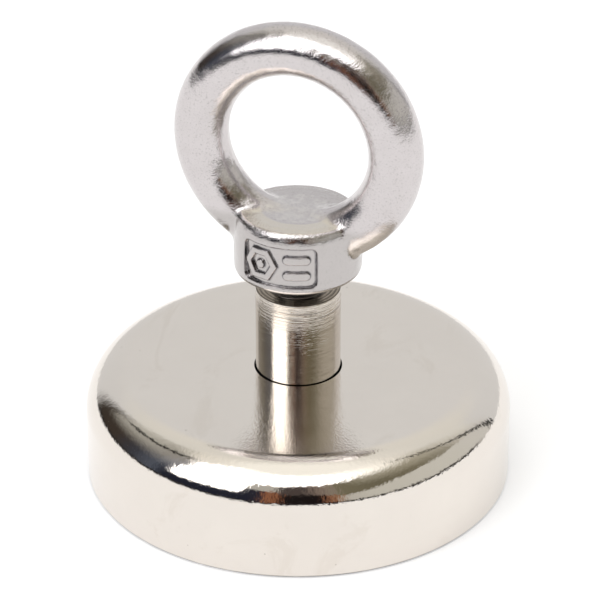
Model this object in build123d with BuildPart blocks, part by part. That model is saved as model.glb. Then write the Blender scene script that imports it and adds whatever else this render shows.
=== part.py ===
from build123d import *
import os

os.makedirs("parts", exist_ok=True)

# Pot magnet with an M8 eye bolt, for magnet fishing. Millimetres, +Z up.
# Origin: centre of the pot's foot, which is the rim of the pull face. The eye's ring
# lies in the XZ plane, and the marked side of its collar faces -Y.

# ---- driving dimensions ----
pot_radius = 30.0
pot_height = 16.0
pot_top_fillet = 6.2
pot_foot_chamfer = 0.35
pot_hole_radius = 6.12

cavity_radius = 25.8
cavity_depth = 9.0

magnet_radius = 25.0
magnet_chamfer = 0.4
magnet_face_z = 0.2
glue_film = 0.05
epoxy_face_z = 0.35

bush_radius = 5.97
bush_top = 28.65
bush_top_chamfer = 0.12
flange_radius = 9.0
flange_height = 2.5

thread_pitch = 1.25
bore_minor = 3.40
bore_major = 4.08
bore_mouth = 4.15
mouth_depth = 0.5

collar_bottom = 31.85
collar_top = 40.85
collar_foot_radius = 8.40
collar_lower_radius = 8.88
collar_radius = 8.92
collar_shoulder_radius = 8.57
collar_edge_width = 1.07       # the upper edge is a short, steep fall
collar_edge_height = 1.25
collar_foot_height = 0.55

ring_centre = 50.8
ring_radius = 14.0
ring_tube = 3.79

shank_length = 12.7
shank_root = 3.20
shank_crest = 3.92
shank_end_chamfer = 0.5
neck_length = 2.3

drop_radius = 3.0
drop_height = 1.2

panel_width = 11.0
panel_height = 5.95
panel_corner = 0.9
panel_z = 35.97
panel_floor = 8.46
mark_height = 8.80

# ---- derived ----
shank_end = collar_bottom - shank_length
bore_floor = shank_end - drop_height
ridge_start = shank_end + 0.95
ridge_length = collar_bottom - neck_length - 0.3 - ridge_start
groove_start = ridge_start - thread_pitch
groove_length = bush_top + 0.6 - groove_start


# ---- pot cup: steel, closed on top, counterbored from inside for the bush's flange ----
with BuildPart() as pot_cup:
    with BuildSketch(Plane.XY):
        Circle(pot_radius)
    extrude(amount=pot_height)
    fillet(pot_cup.edges().group_by(Axis.Z)[-1], radius=pot_top_fillet)
    chamfer(pot_cup.edges().group_by(Axis.Z)[0], length=pot_foot_chamfer)
    with BuildSketch(Plane.XY):
        Circle(cavity_radius)
    extrude(amount=cavity_depth, mode=Mode.SUBTRACT)
    with BuildSketch(Plane.XY.offset(cavity_depth)):
        Circle(flange_radius)
    extrude(amount=flange_height, mode=Mode.SUBTRACT)
    with BuildSketch(Plane.XY.offset(cavity_depth + flange_height)):
        Circle(pot_hole_radius)
    extrude(amount=pot_height, mode=Mode.SUBTRACT)
pot_cup.part.label = "pot_cup"
export_step(pot_cup.part, "parts/pot_cup.step")


# ---- magnet disc, chamfered all round ----
with BuildPart() as neodymium_magnet:
    with BuildSketch(Plane.XY.offset(magnet_face_z)):
        Circle(magnet_radius)
    extrude(amount=cavity_depth - glue_film - magnet_face_z)
    chamfer(neodymium_magnet.edges().filter_by(GeomType.CIRCLE), length=magnet_chamfer)
neodymium_magnet.part.label = "neodymium_magnet"
export_step(neodymium_magnet.part, "parts/neodymium_magnet.step")


# ---- epoxy: potting ring round the magnet and the glue film above it ----
with BuildPart() as epoxy_fill:
    with BuildSketch(Plane.XY.offset(epoxy_face_z)):
        Circle(cavity_radius)
    extrude(amount=cavity_depth - epoxy_face_z)
    add(neodymium_magnet.part, mode=Mode.SUBTRACT)
epoxy_fill.part.label = "epoxy_fill"
export_step(epoxy_fill.part, "parts/epoxy_fill.step")


# ---- threaded bush: flanged inside the pot, blind M8 bore from the top ----
with BuildPart() as threaded_bush:
    with BuildSketch(Plane.XY.offset(cavity_depth)):
        Circle(flange_radius)
    extrude(amount=flange_height)
    with BuildSketch(Plane.XY.offset(cavity_depth)):
        Circle(bush_radius)
    extrude(amount=bush_top - cavity_depth)
    chamfer(threaded_bush.edges().group_by(Axis.Z)[-1], length=bush_top_chamfer)
    # the thread groove is cut first, then the bore and its mouth
    with BuildLine() as groove_path:
        Helix(pitch=thread_pitch, height=groove_length, radius=bore_minor, center=(0, 0, groove_start))
    with BuildSketch(Plane(origin=(bore_minor, 0, groove_start), x_dir=(1, 0, 0), z_dir=(0, -1, 0))):
        with BuildLine():
            Polyline(
                (-0.15, -0.554),
                (bore_major - bore_minor, -0.085),
                (bore_major - bore_minor, 0.085),
                (-0.15, 0.554),
                close=True,
            )
        make_face()
    sweep(path=groove_path.line, is_frenet=True, mode=Mode.SUBTRACT)
    with BuildSketch(Plane.XY.offset(bore_floor)):
        Circle(bore_minor)
    extrude(amount=bush_top - bore_floor + 1.0, mode=Mode.SUBTRACT)
    with BuildSketch(Plane.XZ):
        with BuildLine():
            Polyline(
                (0, bush_top - mouth_depth),
                (bore_minor, bush_top - mouth_depth),
                (bore_mouth, bush_top),
                (bore_mouth, bush_top + 1.0),
                (0, bush_top + 1.0),
                close=True,
            )
        make_face()
    revolve(axis=Axis.Z, mode=Mode.SUBTRACT)
threaded_bush.part.label = "threaded_bush"
export_step(threaded_bush.part, "parts/threaded_bush.step")


# ---- cured thread-lock under the end of the shank ----
with BuildPart() as thread_lock_drop:
    with BuildSketch(Plane.XY.offset(bore_floor)):
        Circle(drop_radius)
    extrude(amount=drop_height)
    fillet(thread_lock_drop.edges().group_by(Axis.Z)[0], radius=0.4)
thread_lock_drop.part.label = "thread_lock_drop"
export_step(thread_lock_drop.part, "parts/thread_lock_drop.step")


# ---- eye bolt: collar, ring and threaded shank in one forging ----
with BuildPart() as eye_bolt:
    # collar, slightly barrel-shaped, with a rounded foot and a steep upper edge
    with BuildSketch(Plane.XZ):
        with BuildLine():
            Line((0, collar_bottom), (collar_foot_radius, collar_bottom))
            ThreePointArc(
                (collar_foot_radius, collar_bottom),
                (collar_lower_radius - 0.13, collar_bottom + 0.20),
                (collar_lower_radius, collar_bottom + collar_foot_height),
            )
            ThreePointArc(
                (collar_lower_radius, collar_bottom + collar_foot_height),
                (collar_radius, collar_bottom + 3.3),
                (collar_shoulder_radius, collar_top - collar_edge_height),
            )
            ThreePointArc(
                (collar_shoulder_radius, collar_top - collar_edge_height),
                (collar_shoulder_radius - 0.293 * collar_edge_width, collar_top - 0.293 * collar_edge_height),
                (collar_shoulder_radius - collar_edge_width, collar_top),
            )
            Line((collar_shoulder_radius - collar_edge_width, collar_top), (0, collar_top))
            Line((0, collar_top), (0, collar_bottom))
        make_face()
    revolve(axis=Axis.Z)
    # ring
    with BuildSketch(Plane.XY.offset(ring_centre)):
        with Locations((ring_radius, 0)):
            Circle(ring_tube)
    revolve(axis=Axis((0, 0, ring_centre), (0, 1, 0)))
    # recessed panel on the -Y side of the collar, with raised plain marks
    with BuildSketch(Plane.XZ.offset(5.5)):
        with Locations((0, panel_z)):
            RectangleRounded(panel_width, panel_height, panel_corner)
    panel_block = extrude(amount=6.0, mode=Mode.PRIVATE)
    with BuildSketch(Plane.XY.offset(panel_z - 0.5 * panel_height - 1.0)):
        Circle(collar_radius + 1.0)
        Circle(panel_floor, mode=Mode.SUBTRACT)
    panel_shell = extrude(amount=panel_height + 2.0, mode=Mode.PRIVATE)
    add(panel_block & panel_shell, mode=Mode.SUBTRACT)
    with BuildSketch(Plane.XZ.offset(5.5)):
        with Locations((-2.6, panel_z)):
            RegularPolygon(radius=2.60, side_count=6)
            RegularPolygon(radius=1.60, side_count=6, mode=Mode.SUBTRACT)
            Circle(0.62)
        with Locations((2.7, panel_z + 1.2), (2.7, panel_z - 1.2)):
            SlotOverall(3.8, 1.15)
    mark_block = extrude(amount=6.0, mode=Mode.PRIVATE)
    with BuildSketch(Plane.XY.offset(panel_z - 0.5 * panel_height)):
        Circle(mark_height)
        Circle(panel_floor - 0.3, mode=Mode.SUBTRACT)
    mark_shell = extrude(amount=panel_height, mode=Mode.PRIVATE)
    add(mark_block & mark_shell)
    # shank, chamfered at its end
    with BuildSketch(Plane.XY.offset(shank_end)):
        Circle(shank_root)
    extrude(amount=shank_length + 0.5)
    chamfer(eye_bolt.edges().group_by(Axis.Z)[0], length=shank_end_chamfer)
    # thread ridge
    with BuildLine() as ridge_path:
        Helix(pitch=thread_pitch, height=ridge_length, radius=shank_root, center=(0, 0, ridge_start))
    with BuildSketch(Plane(origin=(shank_root, 0, ridge_start), x_dir=(1, 0, 0), z_dir=(0, -1, 0))):
        with BuildLine():
            Polyline(
                (-0.12, -0.563),
                (shank_crest - shank_root, -0.078),
                (shank_crest - shank_root, 0.078),
                (-0.12, 0.563),
                close=True,
            )
        make_face()
    sweep(path=ridge_path.line, is_frenet=True)
eye_bolt.part.label = "eye_bolt"
export_step(eye_bolt.part, "parts/eye_bolt.step")
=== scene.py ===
import math
import bpy
import numpy as np
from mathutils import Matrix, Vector


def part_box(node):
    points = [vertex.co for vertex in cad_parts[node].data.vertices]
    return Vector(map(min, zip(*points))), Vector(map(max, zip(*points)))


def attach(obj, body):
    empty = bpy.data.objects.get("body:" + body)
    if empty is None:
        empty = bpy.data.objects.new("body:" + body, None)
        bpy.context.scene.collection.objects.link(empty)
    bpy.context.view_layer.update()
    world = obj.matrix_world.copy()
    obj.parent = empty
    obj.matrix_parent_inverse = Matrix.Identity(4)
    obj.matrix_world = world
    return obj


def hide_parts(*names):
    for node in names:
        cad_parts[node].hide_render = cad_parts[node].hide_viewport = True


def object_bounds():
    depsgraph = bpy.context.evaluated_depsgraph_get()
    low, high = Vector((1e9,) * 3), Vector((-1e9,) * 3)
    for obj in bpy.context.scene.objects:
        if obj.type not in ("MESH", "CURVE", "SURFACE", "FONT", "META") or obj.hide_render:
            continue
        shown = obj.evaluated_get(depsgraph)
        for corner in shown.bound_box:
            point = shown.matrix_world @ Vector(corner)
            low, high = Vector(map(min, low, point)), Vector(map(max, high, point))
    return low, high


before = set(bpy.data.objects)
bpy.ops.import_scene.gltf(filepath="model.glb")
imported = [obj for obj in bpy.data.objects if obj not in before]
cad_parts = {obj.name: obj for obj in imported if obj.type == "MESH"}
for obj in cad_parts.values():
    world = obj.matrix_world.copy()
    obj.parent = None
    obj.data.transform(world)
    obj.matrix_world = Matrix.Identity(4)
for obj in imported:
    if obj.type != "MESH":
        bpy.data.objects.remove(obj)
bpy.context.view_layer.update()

MM = 0.001


def mm_box(node):
    lo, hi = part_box(node)
    return np.array(lo) / MM, np.array(hi) / MM


# ------------------------------------------------------------------ sizes, from the frame
pot_lo, pot_hi = mm_box("pot_cup")
bush_lo, bush_hi = mm_box("threaded_bush")
eye_lo, eye_hi = mm_box("eye_bolt")
mag_lo, mag_hi = mm_box("neodymium_magnet")
epo_lo, epo_hi = mm_box("epoxy_fill")
drop_lo, drop_hi = mm_box("thread_lock_drop")

POT_R = pot_hi[0]                      # 30
POT_H = pot_hi[2]                      # 16
CAV_R = epo_hi[0]                      # 25.8
CAV_H = epo_hi[2]                      # 9
MAG_R = mag_hi[0]                      # 25
MAG_Z = mag_lo[2]                      # 0.2
FLANGE_R = bush_hi[0]                  # 9
BUSH_TOP = bush_hi[2]                  # 28.65
BORE_FLOOR = drop_lo[2]
SHANK_END = eye_lo[2]                  # 19.15
RING_TOP = eye_hi[2]                   # 68.59
RING_OUT = eye_hi[0]                   # 17.79

POT_FILLET = 6.2
HOLE_R = 6.12
BUSH_R = 5.97
FLANGE_H = 2.5
PITCH = 1.25
RIDGE_Z = SHANK_END + 0.95             # height of the ridge's middle at angle 0
COLLAR_BOT = SHANK_END + 12.7          # 31.85
COLLAR_TOP = COLLAR_BOT + 9.0          # 40.85
RING_TUBE = 3.79
RING_RAD = RING_OUT - RING_TUBE        # 14.0
RING_Z = RING_TOP - RING_OUT           # 50.8


# ------------------------------------------------------------------ mesh helpers
def new_object(name, verts_mm, faces, normals=None, smooth=True):
    me = bpy.data.meshes.new(name)
    v = np.asarray(verts_mm, dtype=np.float64) * MM
    faces = np.asarray(faces, dtype=np.int32) if not isinstance(faces, list) else faces
    me.from_pydata(v.tolist(), [], faces.tolist() if not isinstance(faces, list) else faces)
    me.validate(verbose=False)
    me.update()
    if smooth:
        me.polygons.foreach_set("use_smooth", [True] * len(me.polygons))
    if normals is not None and len(me.vertices) == len(normals):
        me.normals_split_custom_set_from_vertices(np.asarray(normals, dtype=float).tolist())
    me.update()
    ob = bpy.data.objects.new(name, me)
    bpy.context.scene.collection.objects.link(ob)
    return ob


def arc(cx, cz, r, a0, a1, n):
    """Points (r, z, nr, nz) on an arc, angles from +Z towards +R, normals outwards."""
    out = []
    for a in np.linspace(math.radians(a0), math.radians(a1), n):
        out.append((cx + r * math.sin(a), cz + r * math.cos(a), math.sin(a), math.cos(a)))
    return out


def inner_arc(cx, cz, r, a0, a1, n):
    """The same arc seen from the hollow side: normals point at the centre."""
    return [(x, z, -nx, -nz) for x, z, nx, nz in arc(cx, cz, r, a0, a1, n)]


def line(p, q, nr, nz, step=0.6):
    n = max(2, int(math.ceil(math.hypot(q[0] - p[0], q[1] - p[1]) / step)) + 1)
    return [(p[0] + (q[0] - p[0]) * t, p[1] + (q[1] - p[1]) * t, nr, nz) for t in np.linspace(0, 1, n)]


def lathe(name, prof, segs, closed=True, radial=None):
    """Turns a profile of (r, z, nr, nz) points about Z. Two points in one place with different
    normals make a crisp corner, because each keeps its own ring of vertices. radial(r, z, theta)
    may move a ring in or out."""
    P = np.array(prof, dtype=float)
    th = np.linspace(0, 2 * math.pi, segs, endpoint=False)
    verts, norms, rings = [], [], []
    count = 0
    for r, z, nr, nz in P:
        if r < 1e-6:
            verts.append(np.array([[0.0, 0.0, z]]))
            norms.append(np.array([[0.0, 0.0, 1.0 if nz >= 0 else -1.0]]))
            rings.append((count, 1))
            count += 1
            continue
        rr = np.full(segs, r) if radial is None else radial(r, z, th)
        verts.append(np.stack([rr * np.cos(th), rr * np.sin(th), np.full(segs, z)], 1))
        norms.append(np.stack([nr * np.cos(th), nr * np.sin(th), np.full(segs, nz)], 1))
        rings.append((count, segs))
        count += segs
    verts = np.concatenate(verts)
    norms = np.concatenate(norms)
    faces = []
    pairs = list(zip(range(len(rings) - 1), range(1, len(rings))))
    if closed:
        pairs.append((len(rings) - 1, 0))
    for a, b in pairs:
        if np.hypot(P[a][0] - P[b][0], P[a][1] - P[b][1]) < 1e-7:
            continue
        (sa, na), (sb, nb) = rings[a], rings[b]
        for i in range(segs):
            j = (i + 1) % segs
            if na == 1 and nb == 1:
                break
            if na == 1:
                faces.append((sa, sb + i, sb + j))
            elif nb == 1:
                faces.append((sa + i, sb, sa + j))
            else:
                faces.append((sa + i, sb + i, sb + j, sa + j))
    return verts, faces, norms


def weld(ob, dist=1e-7):
    """Joins the doubled rings of a lathe without losing its corner normals."""
    me = ob.data
    loops = np.zeros(len(me.loops) * 3)
    me.corner_normals.foreach_get("vector", loops)
    import bmesh
    bm = bmesh.new()
    bm.from_mesh(me)
    key = bm.loops.layers.float_vector.new("keep_normal")
    for f in bm.faces:
        for l in f.loops:
            l[key] = Vector(loops[l.index * 3:l.index * 3 + 3]) if l.index >= 0 else Vector((0, 0, 1))
    bmesh.ops.remove_doubles(bm, verts=bm.verts, dist=dist)
    bm.to_mesh(me)
    bm.free()
    attr = me.attributes["keep_normal"]
    n = np.zeros(len(me.loops) * 3)
    attr.data.foreach_get("vector", n)
    me.attributes.remove(attr)
    me.normals_split_custom_set(n.reshape(-1, 3).tolist())
    me.update()
    return ob


def outward(ob):
    """The signed volume that the mesh's faces enclose: positive when they face outward."""
    me = ob.data
    me.calc_loop_triangles()
    co = np.zeros(len(me.vertices) * 3)
    me.vertices.foreach_get("co", co)
    co = co.reshape(-1, 3)
    t = np.zeros(len(me.loop_triangles) * 3, dtype=np.int32)
    me.loop_triangles.foreach_get("vertices", t)
    t = t.reshape(-1, 3)
    vol = np.einsum("ij,ij->i", co[t[:, 0]], np.cross(co[t[:, 1]], co[t[:, 2]])).sum() / 6
    return vol


def turned(name, prof, segs, closed=True, radial=None):
    v, f, n = lathe(name, prof, segs, closed, radial)
    # faces are wound so that they enclose a positive volume
    tri_vol = 0.0
    va = np.asarray(v)
    for face in f:
        a, b, c = va[face[0]], va[face[1]], va[face[2]]
        tri_vol += float(np.dot(a, np.cross(b, c)))
        if len(face) == 4:
            a, b, c = va[face[0]], va[face[2]], va[face[3]]
            tri_vol += float(np.dot(a, np.cross(b, c)))
    if tri_vol < 0:
        f = [tuple(reversed(face)) for face in f]
    return new_object(name, v, f, n)


# ------------------------------------------------------------------ pot cup
SEG = 320
e = 0.045    # small broken edges
top_r = POT_R - POT_FILLET
pot_prof = []
pot_prof += line((HOLE_R + e, POT_H), (top_r, POT_H), 0, 1, 0.9)
pot_prof += arc(top_r, POT_H - POT_FILLET, POT_FILLET, 0, 90, 40)[1:]
pot_prof += line((POT_R, POT_H - POT_FILLET), (POT_R, 0.45), 1, 0, 0.8)[1:]
pot_prof += arc(POT_R - 0.45, 0.45, 0.45, 90, 180, 7)[1:]
pot_prof += line((POT_R - 0.45, 0.0), (CAV_R + 0.25, 0.0), 0, -1, 0.8)[1:]
pot_prof += arc(CAV_R + 0.25, 0.25, 0.25, 180, 270, 5)[1:]
pot_prof += line((CAV_R, 0.25), (CAV_R, CAV_H), -1, 0, 1.2)[1:]
pot_prof += line((CAV_R, CAV_H), (FLANGE_R, CAV_H), 0, -1, 2.0)
pot_prof += line((FLANGE_R, CAV_H), (FLANGE_R, CAV_H + FLANGE_H), -1, 0, 1.5)
pot_prof += line((FLANGE_R, CAV_H + FLANGE_H), (HOLE_R, CAV_H + FLANGE_H), 0, -1, 1.5)
pot_prof += line((HOLE_R, CAV_H + FLANGE_H), (HOLE_R, POT_H - e), -1, 0, 1.5)
pot_prof += arc(HOLE_R + e, POT_H - e, e, 270, 360, 5)[1:]
pot = weld(turned("pot_shell", pot_prof[:-1] + [pot_prof[-1]], SEG))
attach(pot, "pot")
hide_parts("pot_cup")

# ------------------------------------------------------------------ magnet disc
mag_prof = [(0, MAG_Z, 0, -1)]
mag_prof += line((1.0, MAG_Z), (MAG_R - 0.4, MAG_Z), 0, -1, 2.0)
mag_prof += arc(MAG_R - 0.4, MAG_Z + 0.4, 0.4, 180, 90, 7)[1:]
mag_prof += line((MAG_R, MAG_Z + 0.4), (MAG_R, mag_hi[2] - 0.4), 1, 0, 1.5)[1:]
mag_prof += arc(MAG_R - 0.4, mag_hi[2] - 0.4, 0.4, 90, 0, 7)[1:]
mag_prof += line((MAG_R - 0.4, mag_hi[2]), (1.0, mag_hi[2]), 0, 1, 3.0)[1:]
mag_prof += [(0, mag_hi[2], 0, 1)]
magnet = weld(turned("magnet_disc", mag_prof, SEG, closed=False))
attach(magnet, "pot")
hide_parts("neodymium_magnet")

# ------------------------------------------------------------------ epoxy: meniscus between magnet and wall
ez = epo_lo[2]
epo_prof = []
gap_mid = 0.5 * (MAG_R + CAV_R)
half = 0.5 * (CAV_R - MAG_R)
for t in np.linspace(-1, 1, 11):                      # hollow surface, wetting both walls
    epo_prof.append((gap_mid + half * t, ez + 0.16 * (1 - t * t), 0.35 * -t, -1.0))
epo_prof = [(r, z, nr / math.hypot(nr, nz), nz / math.hypot(nr, nz)) for r, z, nr, nz in epo_prof]
epo_prof += line((CAV_R, ez), (CAV_R, epo_hi[2]), 1, 0, 1.5)
epo_prof += line((CAV_R, epo_hi[2]), (FLANGE_R * 0.4, epo_hi[2]), 0, 1, 3.0)
epo_prof += line((FLANGE_R * 0.4, epo_hi[2]), (FLANGE_R * 0.4, mag_hi[2] + 0.005), -1, 0, 1.0)
epo_prof += line((FLANGE_R * 0.4, mag_hi[2] + 0.005), (MAG_R + 0.005, mag_hi[2] + 0.005), 0, -1, 3.0)
epo_prof += line((MAG_R + 0.005, mag_hi[2] + 0.005), (MAG_R, ez), -1, 0, 1.5)
epoxy = weld(turned("epoxy_ring", epo_prof, SEG))
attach(epoxy, "pot")
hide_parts("epoxy_fill")


# ------------------------------------------------------------------ threads
def thread_radius(z, th, root, crest, root_half, crest_half, z0, z_first, z_last, fade):
    """Radius of a right-handed ridge at height z and angle th, fading out at both ends."""
    middle = z0 + PITCH * th / (2 * math.pi)
    d = np.abs((z - middle + 0.5 * PITCH) % PITCH - 0.5 * PITCH)
    t = np.clip((root_half - d) / (root_half - crest_half), 0, 1)
    t = t * t * (3 - 2 * t) * 0.35 + t * 0.65
    reach = np.clip((z - z_first) / fade, 0, 1) * np.clip((z_last - z) / fade, 0, 1)
    return root + (crest - root) * t * reach


# ------------------------------------------------------------------ bush, with its tapped blind bore
def bush_radial(r, z, th):
    if abs(r - 3.40) < 1e-6 and BORE_FLOOR + 0.3 < z < BUSH_TOP - 0.45:
        return thread_radius(z, th, 3.40, 4.06, 0.47, 0.09, RIDGE_Z - PITCH, RIDGE_Z - 1.6, BUSH_TOP + 2, 0.7)
    # faint tool marks on the outside, strongest near the top
    if r > BUSH_R - 0.02 and z > POT_H and r < BUSH_R + 0.02:
        near_top = math.exp(-(BUSH_TOP - z) / 2.2)
        return np.full_like(th, r + 0.006 * near_top * (math.sin(z * 41.0) + 0.6 * math.sin(z * 67.0 + 1.3)) - 0.008 * near_top)
    return np.full_like(th, r)


be = 0.13
bush_prof = []
bush_prof += [(0, CAV_H, 0, -1)]
bush_prof += line((1.0, CAV_H), (FLANGE_R - 0.2, CAV_H), 0, -1, 2.0)
bush_prof += arc(FLANGE_R - 0.2, CAV_H + 0.2, 0.2, 180, 90, 4)[1:]
bush_prof += line((FLANGE_R, CAV_H + 0.2), (FLANGE_R, CAV_H + FLANGE_H - 0.2), 1, 0, 1.0)[1:]
bush_prof += arc(FLANGE_R - 0.2, CAV_H + FLANGE_H - 0.2, 0.2, 90, 0, 4)[1:]
bush_prof += line((FLANGE_R - 0.2, CAV_H + FLANGE_H), (BUSH_R, CAV_H + FLANGE_H), 0, 1, 1.0)[1:]
bush_prof += line((BUSH_R, CAV_H + FLANGE_H), (BUSH_R, POT_H), 1, 0, 1.0)
bush_prof += line((BUSH_R, POT_H), (BUSH_R, BUSH_TOP - be), 1, 0, 0.035)[1:]
bush_prof += arc(BUSH_R - be, BUSH_TOP - be, be, 90, 0, 7)[1:]
# turned face: very shallow rings
face_out, face_in = BUSH_R - be, 4.15
for r in np.linspace(face_out, face_in, 60)[1:]:
    s = 0.010 * math.cos(r * 21.0)
    n = (0.21 * math.sin(r * 21.0) * 0.6, 1.0)
    k = math.hypot(*n)
    bush_prof.append((r, BUSH_TOP - 0.012 + s * 0.5, n[0] / k, n[1] / k))
bush_prof += line((face_in, BUSH_TOP - 0.01), (3.40, BUSH_TOP - 0.5), -0.55, 0.83, 0.12)
bore_step = 0.06
bush_prof += line((3.40, BUSH_TOP - 0.5), (3.40, BORE_FLOOR), -1, 0, bore_step)[1:]
bush_prof += line((3.40, BORE_FLOOR), (0.8, BORE_FLOOR), 0, 1, 0.8)
bush_prof += [(0, BORE_FLOOR, 0, 1)]
bush = turned("bush_sleeve", bush_prof, 160, closed=False, radial=bush_radial)
bush = weld(bush)
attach(bush, "pot")
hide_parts("threaded_bush")


# ------------------------------------------------------------------ eye bolt: one smooth forged skin
def smin(a, b, k):
    h = np.maximum(k - np.abs(a - b), 0.0) / k
    return np.minimum(a, b) - h * h * k * 0.25


def smax(a, b, k):
    return -smin(-a, -b, k)


def rbox(u, v, hu, hv, r):
    qu, qv = np.abs(u) - (hu - r), np.abs(v) - (hv - r)
    return np.hypot(np.maximum(qu, 0), np.maximum(qv, 0)) + np.minimum(np.maximum(qu, qv), 0) - r


def hexagon(u, v, r):
    """Distance to a hexagon with flats r away, flat sides up and down."""
    u, v = np.abs(u), np.abs(v)
    return np.maximum(v, u * 0.8660254 + v * 0.5) - r


COLLAR_MID = 0.5 * (COLLAR_BOT + COLLAR_TOP)
# radius by height: a rounded foot, a slight barrel, and a short steep fall from the plateau's crisp edge
_z = np.array([-1.0, 0.0, 0.20, 0.55, 1.8, 3.3, 5.0, 6.4, 7.25, 7.75, 8.15, 8.45, 8.70, 8.96, 9.3]) + COLLAR_BOT
_r = np.array([8.10, 8.50, 8.75, 8.87, 8.91, 8.92, 8.87, 8.78, 8.68, 8.57, 8.42, 8.22, 7.98, 7.50, 6.8])
SIDE_Z = np.linspace(_z[0], _z[-1], 800)
_k = np.exp(-0.5 * (np.arange(-24, 25) / 9.0) ** 2)
SIDE_R = np.convolve(np.pad(np.interp(SIDE_Z, _z, _r), 24, mode="edge"), _k / _k.sum(), mode="valid")
SIDE_D = np.gradient(SIDE_R, SIDE_Z)
TILT = 0.039                               # the plateau leans back by two degrees
PANEL_Z = COLLAR_BOT + 4.12
PANEL_FLOOR = 8.46
MARK_TOP = 8.80
NECK_R = 3.20
FOOT = 0.12                                # crisp foot


def forged(p):
    x, y, z = p[..., 0], p[..., 1], p[..., 2]
    r = np.hypot(x, y)
    # ring, a touch fuller across than along, with the die's parting line round it
    zz = z - RING_Z
    rr = np.hypot(x, zz)
    along = rr - RING_RAD
    section = np.hypot(along, y)
    ridge = np.exp(-(y / 0.30) ** 2)
    inner = np.clip(-along / RING_TUBE, 0, 1)
    outer = np.clip(along / RING_TUBE, 0, 1)
    # the tube is a little thinner at the crown
    tube = RING_TUBE - 0.16 * np.clip(zz / np.maximum(rr, 1e-6), 0, 1) ** 2
    ring = section - tube - 0.075 * ridge * inner ** 4 + 0.02 * outer ** 6
    # flat ground on the parting line inside the ring, as left by trimming
    ring = smax(ring, -(rr - (RING_RAD - tube - 0.04)), 0.12)
    # collar, its upper part leaning with the plateau
    w = np.clip((z - COLLAR_BOT - 4.0) / 3.0, 0, 1)
    lean = z + TILT * y * w * w * (3 - 2 * w)
    R = np.interp(lean, SIDE_Z, SIDE_R)
    side = (r - R) / np.sqrt(1.0 + np.interp(lean, SIDE_Z, SIDE_D) ** 2)
    # the plateau is a low dome with a flat middle
    dome = 0.016 * np.maximum(r - 4.6, 0.0) ** 2
    top = lean - (COLLAR_TOP - 0.04) + np.minimum(dome, 0.14)
    collar = smax(smax(side, top, 0.10), COLLAR_BOT - z, 2.2 * FOOT)
    body = smin(ring, collar, 0.85)
    # panel and its raised plain marks
    phi = np.arctan2(x, -y)
    u = phi * 8.7
    v = z - PANEL_Z
    front = (np.abs(phi) < 1.2) & (r > 5.0)
    cut = rbox(u, v, 5.55, 2.99, 0.95)
    # the panel's floor wavers a little, like struck metal
    floor = PANEL_FLOOR - 0.06 + 0.02 * np.sin(u * 1.7) * np.sin(v * 2.1 + 0.6)
    pocket = np.where(front, smax(cut, floor - r, 0.10), 5.0)
    body = smax(body, -pocket, 0.09)
    hexa = np.abs(hexagon(u + 2.62, v, 1.82)) - 0.43
    dot = np.hypot(u + 2.62, v) - 0.62
    bars = np.minimum(rbox(u - 2.72, v - 1.20, 1.90, 0.57, 0.52), rbox(u - 2.72, v + 1.20, 1.90, 0.57, 0.52))
    marks = np.minimum(np.minimum(hexa, dot), bars)
    raised = np.where(front, smax(marks, r - MARK_TOP, 0.14), 5.0)
    raised = np.maximum(raised, 7.6 - r)
    body = smin(body, raised, 0.08)
    # neck
    neck = np.maximum(r - NECK_R, np.maximum(z - (COLLAR_BOT + 1.0), (COLLAR_BOT - 2.0) - z))
    body = smin(body, neck, 0.35)
    # hand of the forging: slow hollows and swells
    wav = (0.020 * np.sin(0.71 * x + 0.4) * np.sin(0.63 * z + 1.1) * np.cos(0.55 * y)
           + 0.010 * np.sin(1.9 * x + 1.3 * z) * np.cos(1.7 * y - 0.9 * z + 0.7)
           + 0.006 * np.sin(3.7 * z - 2.9 * x + 2.1) * np.cos(3.1 * y + 0.3))
    fade = np.clip((z - COLLAR_BOT - 0.2) / 1.0, 0, 1)
    return body + wav * fade


def recess_shade(p):
    """How much painted shade a point of the eye's skin gets, near the walls round the panel and the marks."""
    x, y, z = p[..., 0], p[..., 1], p[..., 2]
    r = np.hypot(x, y)
    phi = np.arctan2(x, -y)
    u, v = phi * 8.7, z - PANEL_Z
    front = (np.abs(phi) < 1.0) & (r > 8.0) & (r < 9.2)

    def near(d, at, half):
        return np.clip(1.0 - np.abs(d - at) / half, 0, 1)

    rim = near(rbox(u, v, 5.55, 2.99, 0.95), -0.10, 0.24)
    hexa = np.abs(hexagon(u + 2.62, v, 1.82)) - 0.43
    dot = np.hypot(u + 2.62, v) - 0.62
    bars = np.minimum(rbox(u - 2.72, v - 1.20, 1.90, 0.57, 0.52), rbox(u - 2.72, v + 1.20, 1.90, 0.57, 0.52))
    shade = np.maximum(rim, near(np.minimum(np.minimum(hexa, dot), bars), 0.07, 0.20))
    shade = np.where(front, shade, 0.0)
    return shade


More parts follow.
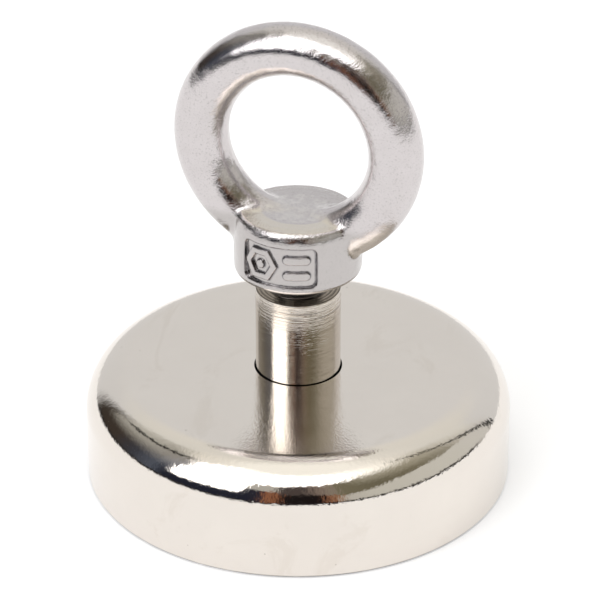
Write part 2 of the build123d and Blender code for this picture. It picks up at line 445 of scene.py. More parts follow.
def surface_net(fn, lo, hi, h):
    """A closed quad mesh of fn = 0, its points drawn onto the surface, with the surface's own normals."""
    ax = [np.arange(l, u + h, h) for l, u in zip(lo, hi)]
    nx, ny, nz = (len(a) for a in ax)
    F = np.empty((nx, ny, nz), dtype=np.float32)
    B = 12                                           # blocks far from the surface take one value
    reach = 0.5 * B * h * 1.7321 * 1.25 + 0.9
    starts = [(i, j, k) for i in range(0, nx, B) for j in range(0, ny, B) for k in range(0, nz, B)]
    mids = np.array([[ax[0][min(i + B // 2, nx - 1)], ax[1][min(j + B // 2, ny - 1)], ax[2][min(k + B // 2, nz - 1)]]
                     for i, j, k in starts])
    for (i, j, k), value in zip(starts, fn(mids)):
        if abs(value) > reach:
            F[i:i + B, j:j + B, k:k + B] = value
            continue
        X, Y, Z = np.meshgrid(ax[0][i:i + B], ax[1][j:j + B], ax[2][k:k + B], indexing="ij")
        F[i:i + B, j:j + B, k:k + B] = fn(np.stack([X, Y, Z], -1))
    S = F < 0
    c = np.zeros((nx - 1, ny - 1, nz - 1), dtype=np.uint8)
    for dx in (0, 1):
        for dy in (0, 1):
            for dz in (0, 1):
                c += S[dx:nx - 1 + dx, dy:ny - 1 + dy, dz:nz - 1 + dz]
    act = np.argwhere((c > 0) & (c < 8))
    index = np.full((nx - 1, ny - 1, nz - 1), -1, dtype=np.int64)
    index[tuple(act.T)] = np.arange(len(act))
    acc = np.zeros((len(act), 3))
    cnt = np.zeros(len(act))
    corners = [(0, 0, 0), (1, 0, 0), (0, 1, 0), (1, 1, 0), (0, 0, 1), (1, 0, 1), (0, 1, 1), (1, 1, 1)]
    edges = [(0, 1), (2, 3), (4, 5), (6, 7), (0, 2), (1, 3), (4, 6), (5, 7), (0, 4), (1, 5), (2, 6), (3, 7)]
    val = [F[act[:, 0] + a, act[:, 1] + b, act[:, 2] + d].astype(float) for a, b, d in corners]
    for a, b in edges:
        fa, fb = val[a], val[b]
        m = (fa < 0) != (fb < 0)
        t = np.where(m, fa / np.where(m, fa - fb, 1.0), 0.0)
        pa, pb = np.array(corners[a], float), np.array(corners[b], float)
        acc += np.where(m[:, None], pa + (pb - pa) * t[:, None], 0.0)
        cnt += m
    base = np.array([ax[0][0], ax[1][0], ax[2][0]])
    P = base + (act + acc / cnt[:, None]) * h

    def grad(q):
        d = 0.02
        g = np.empty_like(q)
        for k in range(3):
            o = np.zeros(3)
            o[k] = d
            g[:, k] = (fn(q + o) - fn(q - o)) / (2 * d)
        return g

    for _ in range(3):
        g = grad(P)
        n2 = np.maximum((g * g).sum(1), 1e-6)
        step = (fn(P) / n2)[:, None] * g
        P = P - np.clip(step, -0.4 * h, 0.4 * h)
    N = grad(P)
    N /= np.maximum(np.linalg.norm(N, axis=1), 1e-9)[:, None]
    quads = []
    for axis in range(3):
        o = [(axis + 1) % 3, (axis + 2) % 3]
        a = [slice(None)] * 3
        b = [slice(None)] * 3
        a[axis], b[axis] = slice(0, -1), slice(1, None)
        sa, sb = S[tuple(a)], S[tuple(b)]
        for flip, m in ((False, sa & ~sb), (True, ~sa & sb)):
            E = np.argwhere(m)
            ok = np.ones(len(E), bool)
            for k in o:
                ok &= (E[:, k] > 0) & (E[:, k] < (nx, ny, nz)[k] - 1)
            E = E[ok]
            cells = []
            for d1, d2 in ((-1, -1), (0, -1), (0, 0), (-1, 0)):
                q = E.copy()
                q[:, o[0]] += d1
                q[:, o[1]] += d2
                cells.append(index[tuple(q.T)])
            Q = np.stack(cells, 1)
            quads.append(Q[:, ::-1] if flip else Q)
    return P, np.concatenate(quads), N


H = 0.135
P, Q, N = surface_net(
    forged,
    (-RING_OUT - 0.6, -9.4, COLLAR_BOT - 2.0 - 0.4 + 0.013),
    (RING_OUT + 0.6, 9.4, RING_TOP + 0.6),
    H,
)

# shank: neck, thread and chamfered end
shank_prof = []
shank_prof += [(0, COLLAR_BOT - 1.0, 0, 1)]
shank_prof += line((1.5, COLLAR_BOT - 1.0), (NECK_R - 0.12, COLLAR_BOT - 1.0), 0, 1, 0.8)
shank_prof += line((NECK_R - 0.12, COLLAR_BOT - 1.0), (3.20, SHANK_END + 0.5), 1, 0, 0.05)
shank_prof += line((3.20, SHANK_END + 0.5), (2.70, SHANK_END), 0.7, -0.7, 0.2)[1:]
shank_prof += line((2.70, SHANK_END), (0.9, SHANK_END), 0, -1, 0.9)
shank_prof += [(0, SHANK_END, 0, -1)]


def shank_radial(r, z, th):
    if r < 3.0 or z < SHANK_END + 0.45:
        return np.full_like(th, r)
    return thread_radius(z, th, min(r, 3.20) if z < COLLAR_BOT - 2.2 else r, 3.90 if z < COLLAR_BOT - 2.2 else r,
                         0.49, 0.08, RIDGE_Z, SHANK_END + 0.3, COLLAR_BOT - 2.5, 0.6)


SV, SF, SN = lathe("shank", shank_prof, 128, False, shank_radial)
SV = np.asarray(SV)
vol = 0.0
for face in SF:
    a, b, c = SV[face[0]], SV[face[1]], SV[face[2]]
    vol += float(np.dot(a, np.cross(b, c)))
if vol < 0:
    SF = [tuple(reversed(f)) for f in SF]

# the eye's skin keeps the surface's own normals; the shank takes those of its mesh
eye_skin = new_object("eye_skin", P, Q, N)
shank = new_object("eye_shank", SV, SF)
for ob, pts in ((eye_skin, P), (shank, SV)):
    shade = recess_shade(np.asarray(pts, dtype=float)) if ob is eye_skin else np.zeros(len(pts))
    layer = ob.data.attributes.new("recess_painted_shade", "FLOAT", "POINT")
    layer.data.foreach_set("value", shade.astype(np.float32))
for ob in (eye_skin, shank):
    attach(ob, "eye")
    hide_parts("eye_bolt")


# ------------------------------------------------------------------ node helpers
class Nodes:
    def __init__(self, tree):
        self.t = tree
        self.n = tree.nodes
        self.l = tree.links

    def put(self, kind, **inputs):
        node = self.n.new(kind)
        for key, value in inputs.items():
            self.set(node, key, value)
        return node

    def set(self, node, key, value):
        sock = node.inputs[key] if isinstance(key, int) else node.inputs[key.replace("_", " ")]
        if isinstance(value, bpy.types.NodeSocket):
            self.l.new(value, sock)
        else:
            sock.default_value = value

    def math(self, op, a, b=None, c=None, clamp=False):
        node = self.n.new("ShaderNodeMath")
        node.operation = op
        node.use_clamp = clamp
        for i, v in enumerate((a, b, c)):
            if v is None:
                continue
            if isinstance(v, bpy.types.NodeSocket):
                self.l.new(v, node.inputs[i])
            else:
                node.inputs[i].default_value = v
        return node.outputs[0]

    def smooth(self, value, lo, hi, out0=0.0, out1=1.0):
        node = self.n.new("ShaderNodeMapRange")
        node.interpolation_type = "SMOOTHSTEP"
        for key, v in (("Value", value), ("From Min", lo), ("From Max", hi), ("To Min", out0), ("To Max", out1)):
            self.set(node, key, v)
        return node.outputs[0]

    def ramp(self, fac, stops, interp="LINEAR"):
        node = self.n.new("ShaderNodeValToRGB")
        cr = node.color_ramp
        cr.interpolation = interp
        while len(cr.elements) > 1:
            cr.elements.remove(cr.elements[-1])
        first = True
        for pos, col in stops:
            if not hasattr(col, "__len__"):
                col = (col, col, col)
            el = cr.elements[0] if first else cr.elements.new(pos)
            el.position = pos
            el.color = (*col[:3], 1.0)
            first = False
        self.l.new(fac, node.inputs[0])
        return node.outputs[0]

    def mix(self, fac, a, b, kind="RGBA", blend="MIX"):
        node = self.n.new("ShaderNodeMix")
        node.data_type = kind
        if kind == "RGBA":
            node.blend_type = blend
            ia, ib, out = node.inputs[6], node.inputs[7], node.outputs[2]
        else:
            ia, ib, out = node.inputs[2], node.inputs[3], node.outputs[0]
        for sock, v in ((node.inputs[0], fac), (ia, a), (ib, b)):
            if isinstance(v, bpy.types.NodeSocket):
                self.l.new(v, sock)
            elif hasattr(v, "__len__"):
                sock.default_value = (*v[:3], 1.0)
            else:
                sock.default_value = v
        return out

    def noise(self, vec, size_mm, detail=2.0, rough=0.5, distortion=0.0):
        node = self.n.new("ShaderNodeTexNoise")
        node.inputs["Scale"].default_value = 1.0 / (size_mm * MM)
        node.inputs["Detail"].default_value = detail
        node.inputs["Roughness"].default_value = rough
        node.inputs["Distortion"].default_value = distortion
        self.l.new(vec, node.inputs["Vector"])
        return node.outputs[0]

    def stretch(self, vec, sx, sy, sz, rot=(0, 0, 0)):
        node = self.n.new("ShaderNodeMapping")
        node.inputs["Scale"].default_value = (sx, sy, sz)
        node.inputs["Rotation"].default_value = rot
        self.l.new(vec, node.inputs["Vector"])
        return node.outputs[0]

    def bump(self, height, distance_mm, normal=None, strength=1.0):
        node = self.n.new("ShaderNodeBump")
        node.inputs["Strength"].default_value = strength
        node.inputs["Distance"].default_value = distance_mm * MM
        self.l.new(height, node.inputs["Height"])
        if normal is not None:
            self.l.new(normal, node.inputs["Normal"])
        return node.outputs[0]


def material(name):
    m = bpy.data.materials.new(name)
    m.use_nodes = True
    g = Nodes(m.node_tree)
    g.n.clear()
    out = g.n.new("ShaderNodeOutputMaterial")
    bsdf = g.n.new("ShaderNodeBsdfPrincipled")
    g.l.new(bsdf.outputs[0], out.inputs[0])
    tc = g.n.new("ShaderNodeTexCoord")
    return m, g, bsdf, tc.outputs["Object"]


def give(ob, mat):
    ob.data.materials.clear()
    ob.data.materials.append(mat)


# ------------------------------------------------------------------ pot: bright nickel plate
m_pot, g, b, oc = material("nickel_plate")
b.inputs["Metallic"].default_value = 1.0
cloud = g.noise(oc, 9.0, 3.0, 0.6)
tone = g.mix(cloud, (0.75, 0.70, 0.65), (0.80, 0.75, 0.695))
film = g.smooth(g.noise(g.stretch(oc, 1, 1, 2.2), 16.0, 4.0, 0.62, 0.6), 0.50, 0.72)
tone = g.mix(g.math("MULTIPLY", film, 0.22), tone, (0.745, 0.69, 0.635))
pits = g.n.new("ShaderNodeTexVoronoi")
pits.inputs["Scale"].default_value = 1 / (2.6 * MM)
pits.inputs["Randomness"].default_value = 1.0
g.l.new(oc, pits.inputs["Vector"])
spot = g.smooth(pits.outputs["Distance"], 0.035, 0.065, 1.0, 0.0)
some = g.smooth(g.noise(oc, 5.0, 1.0, 0.5), 0.50, 0.60)
spot = g.math("MULTIPLY", spot, some)
tone = g.mix(g.math("MULTIPLY", spot, 0.50), tone, (0.40, 0.35, 0.30))
smear = g.smooth(g.noise(g.stretch(oc, 1.0, 0.42, 1.0, (0, 0, 0.75)), 9.0, 5.0, 0.66, 0.9), 0.56, 0.68)
tone = g.mix(g.math("MULTIPLY", smear, 0.16), tone, (0.60, 0.53, 0.45))
# painted shade: near-black round the hole where the bush passes through, standing in for the shadow in the gap, and a
# painted dark line at the foot
sep = g.put("ShaderNodeSeparateXYZ", Vector=oc)
radius = g.math("SQRT", g.math("ADD", g.math("POWER", sep.outputs[0], 2.0), g.math("POWER", sep.outputs[1], 2.0)))
# painted shade in the gap round the bush
gap_shade = g.smooth(radius, (HOLE_R + 0.05) * MM, (HOLE_R + 0.10) * MM, 1.0, 0.0)
tone = g.mix(gap_shade, tone, (0.012, 0.011, 0.010))
# painted shade: a dark line at the bottom edge, standing in for the floor's contact shadow seen in the edge
foot = g.smooth(sep.outputs[2], 0.20 * MM, 0.40 * MM, 1.0, 0.0)
foot = g.math("MULTIPLY", foot, g.smooth(radius, (POT_R - 0.40) * MM, (POT_R - 0.26) * MM))
foot = g.math("MULTIPLY", foot, g.smooth(g.noise(oc, 4.0, 3.0, 0.6), 0.25, 0.55, 0.55, 1.0))
tone = g.mix(g.math("MULTIPLY", foot, 0.88), tone, (0.13, 0.12, 0.11))
g.set(b, "Base Color", tone)
rough = g.math("ADD", 0.040, g.math("MULTIPLY", g.noise(oc, 3.5, 4.0, 0.6), 0.045))
rough = g.math("ADD", rough, g.math("MULTIPLY", film, 0.03))
g.set(b, "Roughness", rough)
fine = g.noise(oc, 0.26, 2.0, 0.6)
peel = g.noise(oc, 0.60, 2.0, 0.5)
slow = g.noise(oc, 5.5, 1.0, 0.5)
flat_top = g.smooth(sep.outputs[2], (POT_H - 0.6) * MM, (POT_H - 0.05) * MM)
nrm = g.bump(slow, 0.026)
nrm = g.bump(g.math("MULTIPLY", peel, g.math("SUBTRACT", 1.0, g.math("MULTIPLY", flat_top, 0.62))), 0.020, nrm)
nrm = g.bump(g.math("MULTIPLY", fine, g.math("ADD", 0.55, g.math("MULTIPLY", flat_top, 1.30))), 0.0095, nrm)
nrm = g.bump(g.math("MULTIPLY", spot, -1.0), 0.012, nrm)
g.set(b, "Normal", nrm)
give(pot, m_pot)

# ------------------------------------------------------------------ bush: nickel over turning marks
m_bush, g, b, oc = material("turned_nickel")
b.inputs["Metallic"].default_value = 1.0
sep = g.put("ShaderNodeSeparateXYZ", Vector=oc)
height = sep.outputs[2]
near_top = g.smooth(height, (BUSH_TOP - 5.0) * MM, (BUSH_TOP - 0.3) * MM)
lines = g.noise(g.stretch(oc, 0.03, 0.03, 1.0), 0.13, 3.0, 0.65)
coarse = g.noise(g.stretch(oc, 0.02, 0.02, 1.0), 0.30, 2.0, 0.6)
tone = g.mix(g.noise(oc, 2.2, 3.0, 0.6), (0.70, 0.65, 0.59), (0.77, 0.71, 0.65))
tone = g.mix(g.math("MULTIPLY", g.smooth(lines, 0.50, 0.68), g.math("ADD", 0.25, g.math("MULTIPLY", near_top, 0.46))), tone, (0.34, 0.30, 0.26))
tone = g.mix(g.math("MULTIPLY", g.smooth(coarse, 0.56, 0.62), g.math("MULTIPLY", near_top, 0.75)), tone, (0.24, 0.21, 0.18))
# painted shade: the turned face on top is darkened where the collar shades it and is seen in it, with turning rings in
# it
radius = g.math("SQRT", g.math("ADD", g.math("POWER", sep.outputs[0], 2.0), g.math("POWER", sep.outputs[1], 2.0)))
face = g.smooth(height, (BUSH_TOP - 0.09) * MM, (BUSH_TOP - 0.03) * MM)
rings = g.math("SINE", g.math("MULTIPLY", radius, 6.2832 / (0.55 * MM)))
rings = g.smooth(g.math("ADD", rings, g.math("MULTIPLY", g.noise(oc, 1.5, 2.0, 0.5), 0.8)), -0.3, 1.1)
tone = g.mix(face, tone, g.mix(rings, (0.20, 0.18, 0.15), (0.46, 0.42, 0.35)))
# painted shade: near-black at the foot of the sleeve, standing in for the shadow in the gap round it
gap_shade = g.smooth(height, (POT_H + 0.02) * MM, (POT_H + 0.08) * MM, 1.0, 0.0)
tone = g.mix(gap_shade, tone, (0.012, 0.011, 0.010))
g.set(b, "Base Color", tone)
g.set(b, "Roughness", g.math("ADD", 0.045, g.math("MULTIPLY", lines, 0.05)))
grain = g.noise(oc, 0.16, 2.0, 0.5)
hatch = g.noise(g.stretch(oc, 0.28, 0.28, 1.0), 0.15, 2.0, 0.6)
nrm = g.bump(lines, 0.015)
nrm = g.bump(coarse, 0.011, nrm)
nrm = g.bump(hatch, 0.009, nrm)
nrm = g.bump(g.math("MULTIPLY", coarse, near_top), 0.022, nrm)
nrm = g.bump(g.math("MULTIPLY", lines, near_top), 0.020, nrm)
nrm = g.bump(grain, 0.0065, nrm)
# a few slanting scratches
for k, (rx, ry, size, at) in enumerate(((0.5, 0.3, 5.0, 0.53), (-0.7, 0.2, 6.5, 0.56))):
    s = g.noise(g.stretch(oc, 0.10, 0.10, 2.4, (rx, ry, 0.4 + k)), size * 0.35, 1.0, 0.4)
    s = g.smooth(g.math("ABSOLUTE", g.math("SUBTRACT", s, at)), 0.0, 0.006, 1.0, 0.0)
    s = g.math("MULTIPLY", s, g.smooth(g.noise(oc, 4.0, 1.0, 0.5), 0.52, 0.62))
    nrm = g.bump(g.math("MULTIPLY", s, -1.0), 0.003, nrm)
g.set(b, "Normal", nrm)
give(bush, m_bush)

# ------------------------------------------------------------------ eye bolt: satin forged steel
m_eye, g, b, oc = material("satin_forged_steel")
b.inputs["Metallic"].default_value = 1.0
grain = g.noise(oc, 0.19, 2.0, 0.6)
blot = g.noise(oc, 2.6, 4.0, 0.6)
tone = g.mix(blot, (0.59, 0.555, 0.555), (0.66, 0.625, 0.63))
dark = g.smooth(g.noise(oc, 0.27, 3.0, 0.7), 0.54, 0.70)
tone = g.mix(g.math("MULTIPLY", dark, 0.58), tone, (0.36, 0.335, 0.34))
sep = g.put("ShaderNodeSeparateXYZ", Vector=oc)
# the collar's colour is darker than the ring's, from just below the plateau down
collar_darker = g.smooth(sep.outputs[2], (COLLAR_TOP - 1.2) * MM, (COLLAR_TOP + 0.4) * MM, 1.0, 0.0)
tone = g.mix(g.math("MULTIPLY", collar_darker, 0.58), tone, (0.42, 0.40, 0.385))
# the plateau: a mottled middle, showing wear, and a painted reflection on its front: a paler, warmer band
reach = g.math("SQRT", g.math("ADD", g.math("POWER", sep.outputs[0], 2.0), g.math("POWER", sep.outputs[1], 2.0)))
level = g.math("MULTIPLY", g.smooth(sep.outputs[2], (COLLAR_TOP - 0.55) * MM, (COLLAR_TOP - 0.40) * MM),
               g.smooth(sep.outputs[2], (COLLAR_TOP + 0.35) * MM, (COLLAR_TOP + 0.55) * MM, 1.0, 0.0))
facing = g.n.new("ShaderNodeNewGeometry")
facing = g.put("ShaderNodeSeparateXYZ", Vector=facing.outputs["Normal"])
level = g.math("MULTIPLY", level, g.smooth(facing.outputs[2], 0.80, 0.94))
level = g.math("MULTIPLY", level, g.smooth(reach, 8.4 * MM, 8.8 * MM, 1.0, 0.0))
middle = g.math("MULTIPLY", level, g.smooth(reach, 4.3 * MM, 4.8 * MM, 1.0, 0.0))
mottle = g.smooth(g.noise(oc, 0.9, 3.0, 0.65), 0.40, 0.62)
tone = g.mix(g.math("MULTIPLY", g.math("MULTIPLY", middle, mottle), 0.55), tone, (0.74, 0.715, 0.69))
# painted reflection: paler, warmer colour on the plateau's front side
front_reflection = g.math("MULTIPLY", level, g.math("MULTIPLY", g.smooth(reach, 4.9 * MM, 5.4 * MM), g.smooth(sep.outputs[1], -3.0 * MM, -1.2 * MM, 1.0, 0.0)))
tone = g.mix(g.math("MULTIPLY", front_reflection, 0.72), tone, (0.74, 0.685, 0.60))
# painted shade: a thin dark line where the side turns under at the foot, standing in for the shadow in the crease
line_z = g.math("ADD", sep.outputs[2], g.math("MULTIPLY", g.noise(oc, 1.6, 2.0, 0.5), 0.10 * MM))
foot_shade_line = g.math("MULTIPLY", g.smooth(line_z, (COLLAR_BOT + 0.24) * MM, (COLLAR_BOT + 0.28) * MM),
                   g.smooth(line_z, (COLLAR_BOT + 0.34) * MM, (COLLAR_BOT + 0.38) * MM, 1.0, 0.0))
foot_shade_line = g.math("MULTIPLY", foot_shade_line, g.smooth(reach, 8.0 * MM, 8.2 * MM))
tone = g.mix(g.math("MULTIPLY", foot_shade_line, 0.80), tone, (0.09, 0.085, 0.08))
# painted shade in the crevices round the panel and the marks, standing in for occlusion and dark reflections in their
# steep walls, and painted shade under the collar, between collar and bush
crev = g.n.new("ShaderNodeAttribute")
crev.attribute_type = "GEOMETRY"
crev.attribute_name = "recess_painted_shade"
# noise breaks up the painted shade in the crevices
shade_breakup = g.smooth(g.noise(oc, 1.1, 3.0, 0.6), 0.30, 0.62, 0.55, 1.0)
tone = g.mix(g.math("MULTIPLY", g.math("MULTIPLY", crev.outputs["Fac"], 0.95), shade_breakup), tone, (0.045, 0.045, 0.060))
# painted shade under the collar, above the bush
under_collar_shade = g.smooth(sep.outputs[2], (COLLAR_BOT - 0.35) * MM, (COLLAR_BOT + 0.03) * MM, 1.0, 0.0)
tone = g.mix(g.math("MULTIPLY", under_collar_shade, 0.80), tone, (0.10, 0.095, 0.085))
g.set(b, "Base Color", tone)
g.set(b, "Roughness", g.math("ADD", 0.09, g.math("MULTIPLY", grain, 0.12)))
nrm = g.bump(g.noise(oc, 3.0, 2.0, 0.5), 0.024)
nrm = g.bump(g.noise(oc, 0.30, 2.0, 0.6), 0.020, nrm)
nrm = g.bump(grain, 0.018, nrm)
# the blend between ring and plateau is left as forged
corner = g.math("MULTIPLY", g.smooth(sep.outputs[2], (COLLAR_TOP - 0.9) * MM, (COLLAR_TOP - 0.2) * MM),
                g.smooth(sep.outputs[2], (COLLAR_TOP + 0.6) * MM, (COLLAR_TOP + 1.9) * MM, 1.0, 0.0))
corner = g.math("MULTIPLY", corner, g.smooth(reach, 5.9 * MM, 6.8 * MM))
corner = g.math("MULTIPLY", corner, g.smooth(reach, 8.7 * MM, 9.5 * MM, 1.0, 0.0))
nrm = g.bump(g.math("MULTIPLY", g.noise(oc, 0.30, 2.0, 0.6), corner), 0.075, nrm)
g.set(b, "Normal", nrm)
give(eye_skin, m_eye)
give(shank, m_eye)

# ------------------------------------------------------------------ magnet: nickel with faint drag marks
m_mag, g, b, oc = material("magnet_plate")
b.inputs["Metallic"].default_value = 1.0
tone = g.mix(g.noise(oc, 7.0, 4.0, 0.6), (0.60, 0.58, 0.55), (0.74, 0.71, 0.67))
g.set(b, "Base Color", tone)
g.set(b, "Roughness", g.math("ADD", 0.14, g.math("MULTIPLY", g.noise(oc, 2.0, 4.0, 0.65), 0.16)))
drag = g.noise(g.stretch(oc, 1.0, 0.03, 1.0, (0, 0, 0.5)), 0.35, 3.0, 0.6)
score = g.smooth(g.noise(g.stretch(oc, 1.0, 0.02, 1.0, (0, 0, -0.9)), 0.8, 2.0, 0.5), 0.60, 0.68)
tone = g.mix(g.math("MULTIPLY", g.smooth(drag, 0.50, 0.66), 0.35), tone, (0.44, 0.42, 0.395))
tone = g.mix(g.math("MULTIPLY", score, 0.45), tone, (0.36, 0.34, 0.32))
g.set(b, "Base Color", tone)
nrm = g.bump(drag, 0.006)
nrm = g.bump(g.noise(oc, 0.6, 2.0, 0.5), 0.004, nrm)
g.set(b, "Normal", nrm)
give(magnet, m_mag)

# ------------------------------------------------------------------ epoxy
m_epo, g, b, oc = material("potting_resin")
tone = g.mix(g.noise(oc, 1.6, 4.0, 0.6), (0.020, 0.020, 0.022), (0.055, 0.055, 0.058))
g.set(b, "Base Color", tone)
g.set(b, "Roughness", g.math("ADD", 0.16, g.math("MULTIPLY", g.noise(oc, 1.0, 3.0, 0.6), 0.25)))
g.set(b, "Normal", g.bump(g.noise(oc, 0.8, 3.0, 0.6), 0.03))
give(epoxy, m_epo)

# ------------------------------------------------------------------ cured thread-lock
m_lock, g, b, oc = material("cured_thread_lock")
tone = g.mix(g.noise(oc, 0.8, 3.0, 0.6), (0.03, 0.07, 0.32), (0.06, 0.13, 0.45))
g.set(b, "Base Color", tone)
g.set(b, "Roughness", g.math("ADD", 0.25, g.math("MULTIPLY", g.noise(oc, 0.4, 3.0, 0.6), 0.2)))
g.set(b, "Normal", g.bump(g.noise(oc, 0.5, 3.0, 0.6), 0.02))
give(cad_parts["thread_lock_drop"], m_lock)

# ------------------------------------------------------------------ floor
FLOOR = 1.6
me = bpy.data.meshes.new("floor")
me.from_pydata([(-FLOOR, -FLOOR, 0), (FLOOR, -FLOOR, 0), (FLOOR, FLOOR, 0), (-FLOOR, FLOOR, 0)], [], [(0, 1, 2, 3)])
floor = bpy.data.objects.new("floor", me)
bpy.context.scene.collection.objects.link(floor)
floor.location.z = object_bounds()[0][2] - 0.00003
m_floor, g, b, oc = material("pale_floor")
g.set(b, "Base Color", g.mix(g.noise(oc, 60.0, 2.0, 0.5), (0.70, 0.70, 0.71), (0.72, 0.72, 0.73)))
b.inputs["Emission Color"].default_value = (0.97, 0.98, 1.0, 1.0)
b.inputs["Emission Strength"].default_value = 0.40
b.inputs["Roughness"].default_value = 0.85
b.inputs["Specular IOR Level"].default_value = 0.1
give(floor, m_floor)

# ------------------------------------------------------------------ camera
CAM_AZ, CAM_EL, CAM_D = math.radians(19.35), math.radians(29.41), 0.4764
target = Vector((0.000240, 0.000084, 0.02634))
back = Vector((math.sin(CAM_AZ) * math.cos(CAM_EL), -math.cos(CAM_AZ) * math.cos(CAM_EL), math.sin(CAM_EL)))
cam_data = bpy.data.cameras.new("camera")
cam_data.sensor_width = 36.0
cam_data.lens = 205.2
cam = bpy.data.objects.new("camera", cam_data)
bpy.context.scene.collection.objects.link(cam)
cam.location = target + back * CAM_D
cam.rotation_euler = back.to_track_quat("Z", "Y").to_euler()
cam_data.clip_start = 0.01
bpy.context.scene.camera = cam

# ------------------------------------------------------------------ studio: one lit surround
world = bpy.data.worlds.new("studio")
bpy.context.scene.world = world
world.use_nodes = True
g = Nodes(world.node_tree)
g.n.clear()
wout = g.n.new("ShaderNodeOutputWorld")
bg = g.n.new("ShaderNodeBackground")
g.l.new(bg.outputs[0], wout.inputs[0])
tc = g.n.new("ShaderNodeTexCoord")
d = tc.outputs["Generated"]


def dot(vec):
    node = g.n.new("ShaderNodeVectorMath")
    node.operation = "DOT_PRODUCT"
    g.l.new(d, node.inputs[0])
    node.inputs[1].default_value = vec
    return node.outputs["Value"]


side = dot((math.cos(CAM_AZ), math.sin(CAM_AZ), 0))
away = dot((-math.sin(CAM_AZ), math.cos(CAM_AZ), 0))
upz = dot((0, 0, 1))
az = g.math("MULTIPLY", g.math("ARCTAN2", side, g.math("MULTIPLY", away, -1.0)), 180 / math.pi)
el = g.math("MULTIPLY", g.math("ARCSINE", upz), 180 / math.pi)
fac = g.math("DIVIDE", g.math("ADD", az, 180.0), 360.0)


def A(a):
    return (a + 180.0) / 360.0


K = 3.0                                  # the ramps hold colours up to 1, so bright ones are stored over K
def C(*c):
    c = c * 3 if len(c) == 1 else c
    return tuple(x / K for x in c)


low = g.ramp(fac, [(A(a), C(*c)) for a, c in (
    (-180, (0.79,)), (-140, (0.76,)), (-131, (0.05, 0.04, 0.032)), (-112, (0.055, 0.043, 0.035)), (-96, (0.05, 0.052, 0.065)), (-82, (0.10, 0.115, 0.15)),
    (-73, (0.018, 0.020, 0.034)), (-30, (0.015, 0.018, 0.034)), (-20, (0.03, 0.028, 0.04)), (-16, (0.36, 0.15, 0.075)),
    (-10, (0.16, 0.07, 0.04)), (-7, (0.012, 0.010, 0.010)), (12, (0.014, 0.010, 0.010)), (17, (0.30, 0.14, 0.08)),
    (21, (0.34, 0.20, 0.12)), (23.5, (0.55, 0.53, 0.48)), (40, (0.64, 0.63, 0.57)), (90, (0.68, 0.67, 0.62)), (119, (0.70, 0.69, 0.66)),
    (124, (0.76,)), (150, (0.79,)), (180, (0.79,)))])
upp = g.ramp(fac, [(A(a), C(*c)) for a, c in (
    (-180, (0.88, 0.86, 0.80)), (-140, (0.82, 0.81, 0.76)), (-130, (0.58, 0.57, 0.52)), (-112, (0.44, 0.43, 0.385)), (-90, (0.34, 0.33, 0.31)),
    (-74, (0.36, 0.37, 0.40)), (-71, (0.018, 0.020, 0.034)), (-30, (0.02, 0.022, 0.036)), (-28, (0.50, 0.49, 0.45)), (-13, (0.52, 0.50, 0.45)),
    (-11, (0.085, 0.07, 0.066)), (-2, (0.075, 0.056, 0.052)), (4, (0.09, 0.074, 0.068)), (8, (0.20, 0.155, 0.132)), (14, (0.245, 0.195, 0.162)), (19, (0.28, 0.24, 0.19)),
    (23, (0.20, 0.18, 0.12)), (45, (0.17, 0.155, 0.105)), (75, (0.19, 0.17, 0.115)), (98, (0.34, 0.32, 0.26)), (108, (0.66, 0.64, 0.58)), (124, (0.82, 0.81, 0.76)), (180, (0.88, 0.86, 0.80)))])
top = g.ramp(fac, [(A(a), C(*c)) for a, c in (
    (-180, (0.92, 0.90, 0.84)), (-115, (0.95, 0.92, 0.84)), (-90, (1.0, 0.97, 0.90)), (-74, (2.95,)), (24, (2.95,)), (38, (1.9, 1.88, 1.8)), (75, (1.3, 1.27, 1.18)),
    (115, (0.98, 0.95, 0.88)), (180, (0.92, 0.90, 0.84)))])
b1 = g.math("MULTIPLY", g.ramp(fac, [(A(a), v / 90) for a, v in (
    (-180, 40), (-133, 38), (-128, 27), (-100, 33), (-75, 33), (-71, 9), (-30, 9), (-29, 31), (-12, 31), (-8, 24), (10, 26), (20, 20), (24, 17),
    (45, 24), (54, 29), (75, 33), (102, 31), (110, 26), (130, 38), (180, 40))]), 90.0)
b2 = g.math("MULTIPLY", g.ramp(fac, [(A(a), v / 90) for a, v in (
    (-180, 66), (-132, 62), (-110, 60), (-90, 58), (-75, 52), (-71.5, 17), (-31, 20), (-29, 46), (20, 48), (26, 51), (45, 56), (75, 57), (100, 60), (180, 66))]), 90.0)
w2 = g.math("MULTIPLY", g.ramp(fac, [(A(a), v / 90) for a, v in (
    (-180, 12), (-132, 6), (-110, 5), (-90, 5), (-75, 5), (-71.5, 1.3), (-31, 1.5), (-29, 1.5), (20, 2), (30, 5), (60, 8), (100, 9), (180, 15))]), 90.0)
w1 = g.math("MULTIPLY", g.ramp(fac, [(A(a), v / 90) for a, v in (
    (-180, 7), (-132, 9), (-128, 14), (-75, 14), (-71, 2), (-28, 1.0), (-12, 1.5), (10, 4), (22, 1.2), (100, 1.0), (112, 5), (180, 10))]), 90.0)

t1 = g.smooth(el, g.math("SUBTRACT", b1, w1), g.math("ADD", b1, w1))
t2 = g.smooth(el, g.math("SUBTRACT", b2, w2), g.math("ADD", b2, w2))
colour = g.mix(t1, low, upp)
# olive side: darkest just above the pale wall, paler upwards
lift = g.math("MULTIPLY", g.smooth(az, 26, 44), g.smooth(az, 96, 120, 1.0, 0.0))
lift = g.math("MULTIPLY", lift, g.math("MULTIPLY", g.smooth(el, 32, 54), t1))
colour = g.mix(g.math("MULTIPLY", lift, 0.55), colour, C(0.60, 0.57, 0.46))
colour = g.mix(t2, colour, top)
# the lamp's cloth ends short of the ceiling, which is a warm white
colour = g.mix(g.smooth(el, 66, 78), colour, C(1.18, 1.165, 1.09))
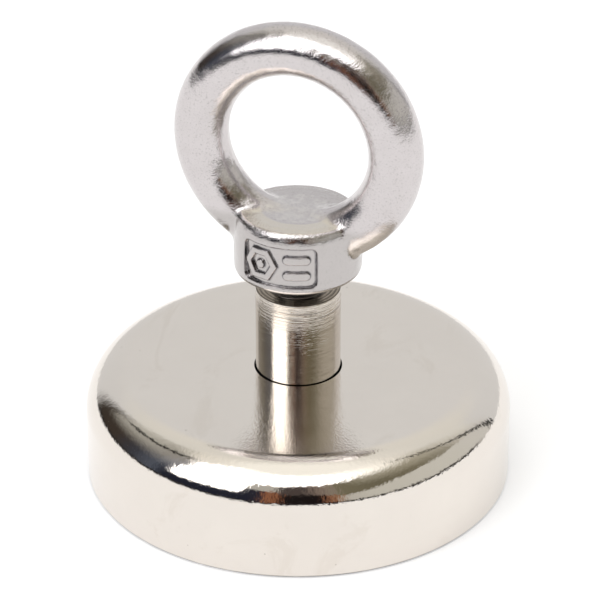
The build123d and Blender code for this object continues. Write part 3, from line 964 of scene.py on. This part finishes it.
# dark slanting rail on the left
rail = g.math("SUBTRACT", el, g.math("ADD", 57.0, g.math("MULTIPLY", g.math("ADD", az, 94.0), 0.62)))
ragged = g.math("MULTIPLY", g.math("SUBTRACT", g.noise(d, 70.0, 3.0, 0.6), 0.5), 5.0)
rail = g.smooth(g.math("ADD", g.math("ABSOLUTE", rail), ragged), 1.9, 2.9, 1.0, 0.0)
rail = g.math("MULTIPLY", rail, g.math("MULTIPLY", g.smooth(az, -131, -124), g.smooth(az, -96, -90, 1.0, 0.0)))
colour = g.mix(g.math("MULTIPLY", rail, 0.96), colour, C(0.02, 0.018, 0.018))
# dark line where the floor ends
inside = g.math("MULTIPLY", g.smooth(az, -136, -128), g.smooth(az, 100, 112, 1.0, 0.0))
edge = g.math("MULTIPLY", g.smooth(el, 3.2, 4.2, 1.0, 0.0), inside)
colour = g.mix(g.math("MULTIPLY", edge, 0.96), colour, C(0.025, 0.022, 0.022))
# far dark seam on the right, leaning back as it rises
lean = g.math("ADD", az, g.math("MULTIPLY", g.math("POWER", g.math("DIVIDE", g.math("MAXIMUM", el, 0.0), 58.0), 1.6), 26.0))
seam = g.smooth(g.math("ABSOLUTE", g.math("SUBTRACT", lean, 121.0)), 1.4, 2.2, 1.0, 0.0)
seam = g.math("MULTIPLY", seam, g.smooth(el, 60, 66, 1.0, 0.0))
seam = g.math("MULTIPLY", seam, g.smooth(el, -1.0, 1.0))
colour = g.mix(g.math("MULTIPLY", seam, 0.97), colour, C(0.018, 0.016, 0.015))
vm = g.n.new("ShaderNodeVectorMath")
vm.operation = "SCALE"
g.l.new(colour, vm.inputs[0])
vm.inputs["Scale"].default_value = K
below = g.smooth(el, -1.5, 0.0, 1.0, 0.0)
final = g.mix(below, vm.outputs[0], (1.0, 1.0, 1.0))
g.l.new(final, bg.inputs[0])
bg.inputs[1].default_value = 1.0
world.cycles.sampling_method = "MANUAL"
world.cycles.sample_map_resolution = 1024

scene = bpy.context.scene
scene.view_settings.view_transform = "Standard"
scene.view_settings.look = "None"
scene.view_settings.exposure = 0.0
